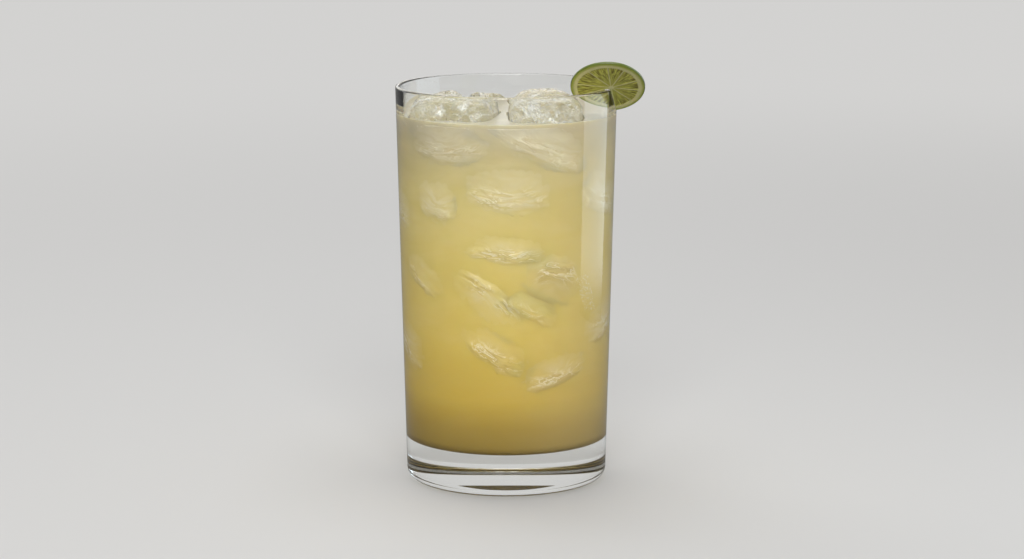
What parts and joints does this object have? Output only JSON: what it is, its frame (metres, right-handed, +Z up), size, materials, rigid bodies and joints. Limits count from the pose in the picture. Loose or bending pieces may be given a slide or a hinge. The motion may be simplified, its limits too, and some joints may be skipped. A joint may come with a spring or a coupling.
{
  "type": "iced bossa nova cocktail in a highball glass",
  "caption": "Tall straight-sided glass of cloudy pale yellow cocktail, with worn ice standing out of the drink and a slit wheel of lime on the rim.",
  "frame": {"origin": "on the axis of the glass, in the plane of the flat ring that it stands on", "axes": "+Z up along the axis of the glass; +Y away from the front; the lime sits at the front right, towards +X and -Y"},
  "size_m": [0.0815, 0.073, 0.1416],
  "materials": {
    "clear_glass": "smooth, fire polished",
    "drink": "cloudy liquid, wet surface",
    "ice": "wet, with frosty cracks",
    "lime": "wet cut fruit with a waxy green skin"
  },
  "bodies": {
    "root": {"glass": "clear_glass", "drink": "drink", "ice_front_left": "ice", "ice_front_right": "ice", "ice_back_left": "ice", "ice_back_middle": "ice", "ice_back_right": "ice", "lime_wheel": "lime"}
  },
  "joints": []
}
